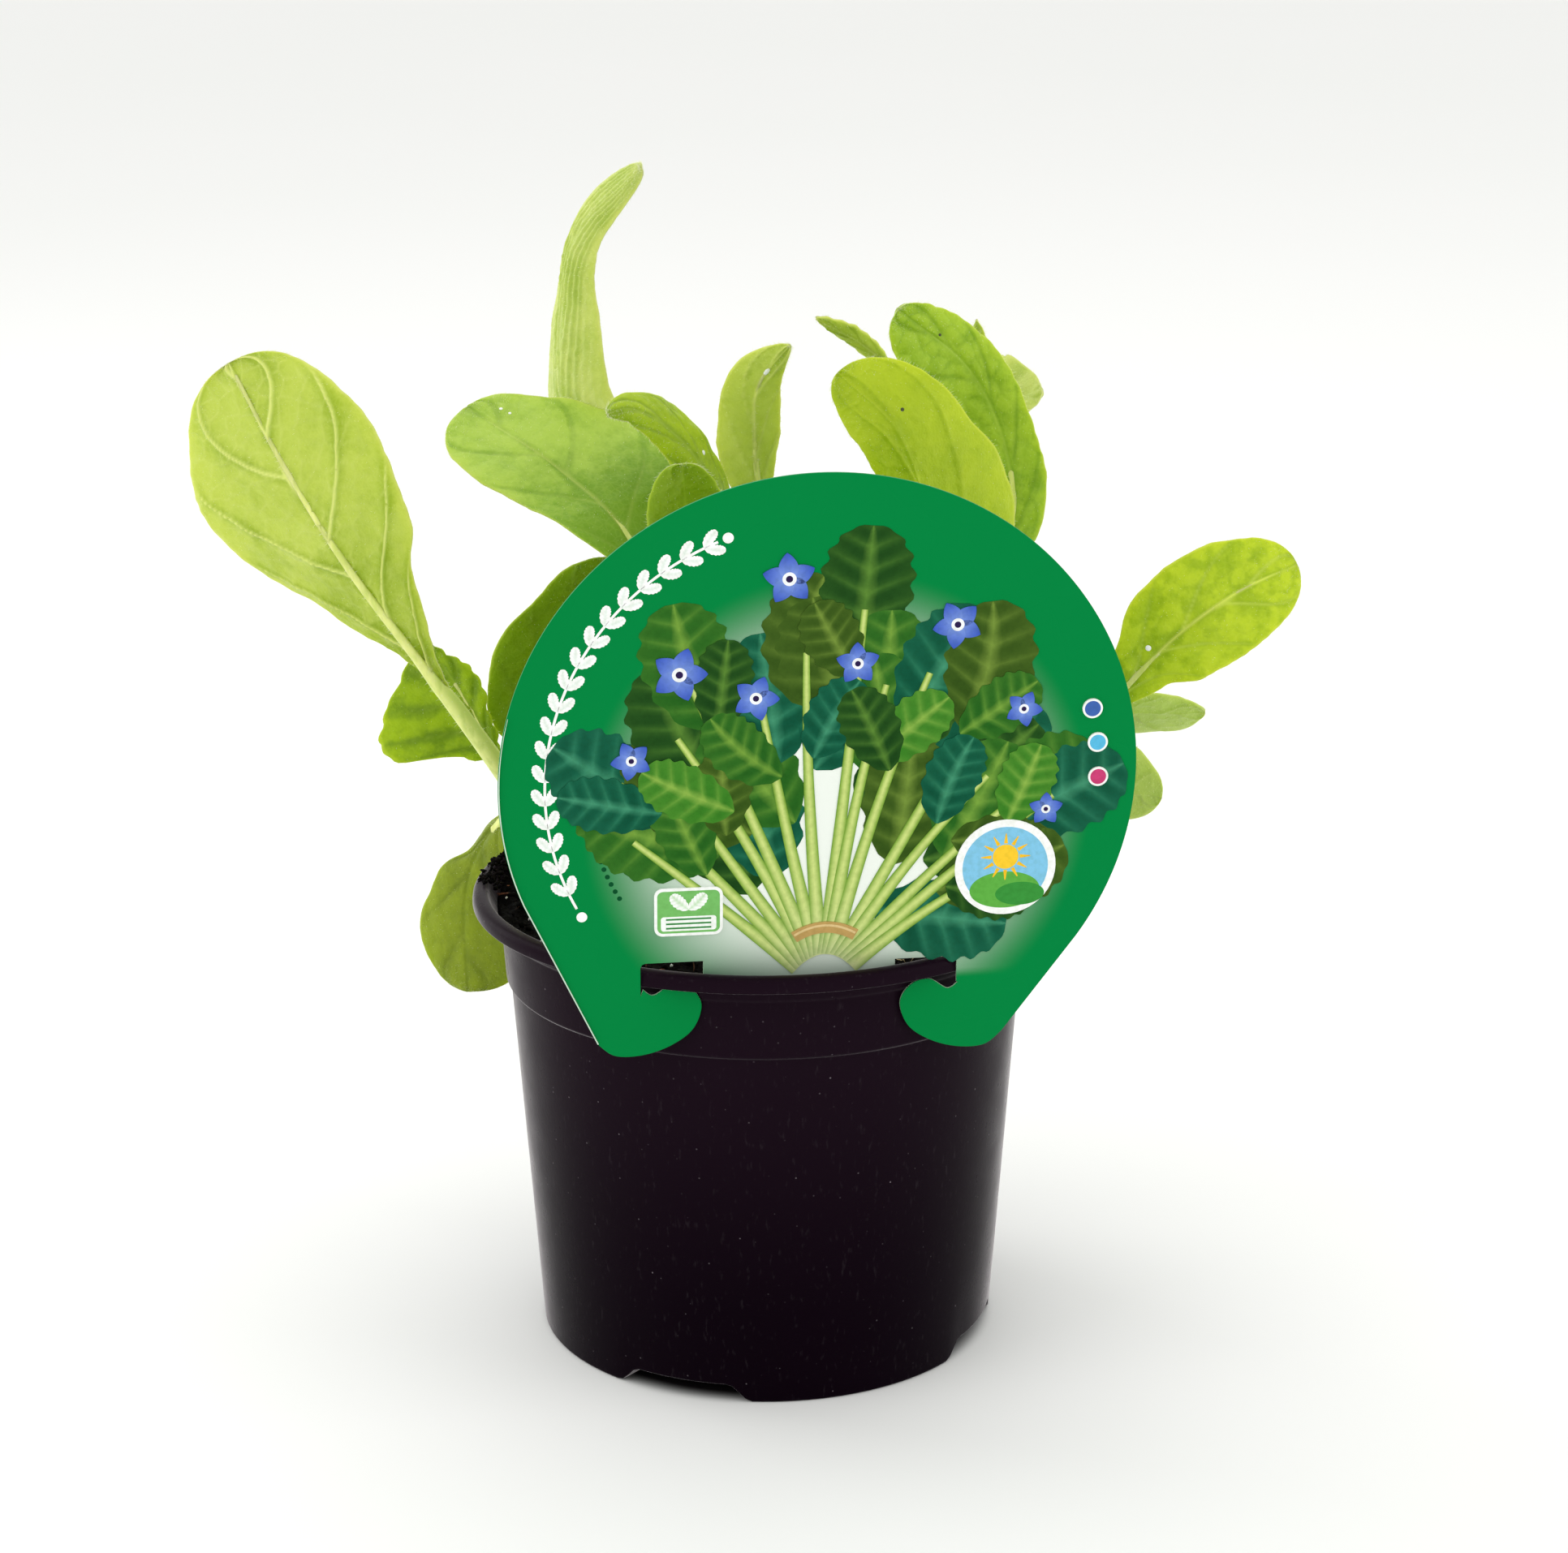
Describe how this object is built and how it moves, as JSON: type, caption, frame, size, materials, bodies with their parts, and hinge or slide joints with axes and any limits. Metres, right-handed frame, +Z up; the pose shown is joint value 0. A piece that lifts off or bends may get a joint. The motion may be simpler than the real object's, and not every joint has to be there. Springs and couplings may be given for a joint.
{
  "type": "borage seedlings in a nursery pot",
  "caption": "Young borage plants with broad pale green leaves, growing in peat in a round black nursery pot with a hang-on picture label.",
  "frame": {"origin": "middle of the pot's foot, on the plane that it stands on", "axes": "+Z up along the pot's axis, -Y towards the front with the label, +X to the right seen from the front"},
  "size_m": [0.1893, 0.1159, 0.2103],
  "materials": {
    "pot": "near-black moulded plastic with a satin sheen and a little dust",
    "soil": "dark moist peat with bark crumbs and pale fibres",
    "label": "green printed card with a soft gloss and pale cut edges",
    "leaf": "soft hairy yellow-green leaf with paler veins and stalks, light shows through"
  },
  "bodies": {
    "root": {"pot": "pot", "soil": "soil", "label": "label", "seedling_left": "leaf", "seedling_middle_left": "leaf", "seedling_middle_right": "leaf", "seedling_right": "leaf", "seedling_back": "leaf"}
  },
  "joints": []
}
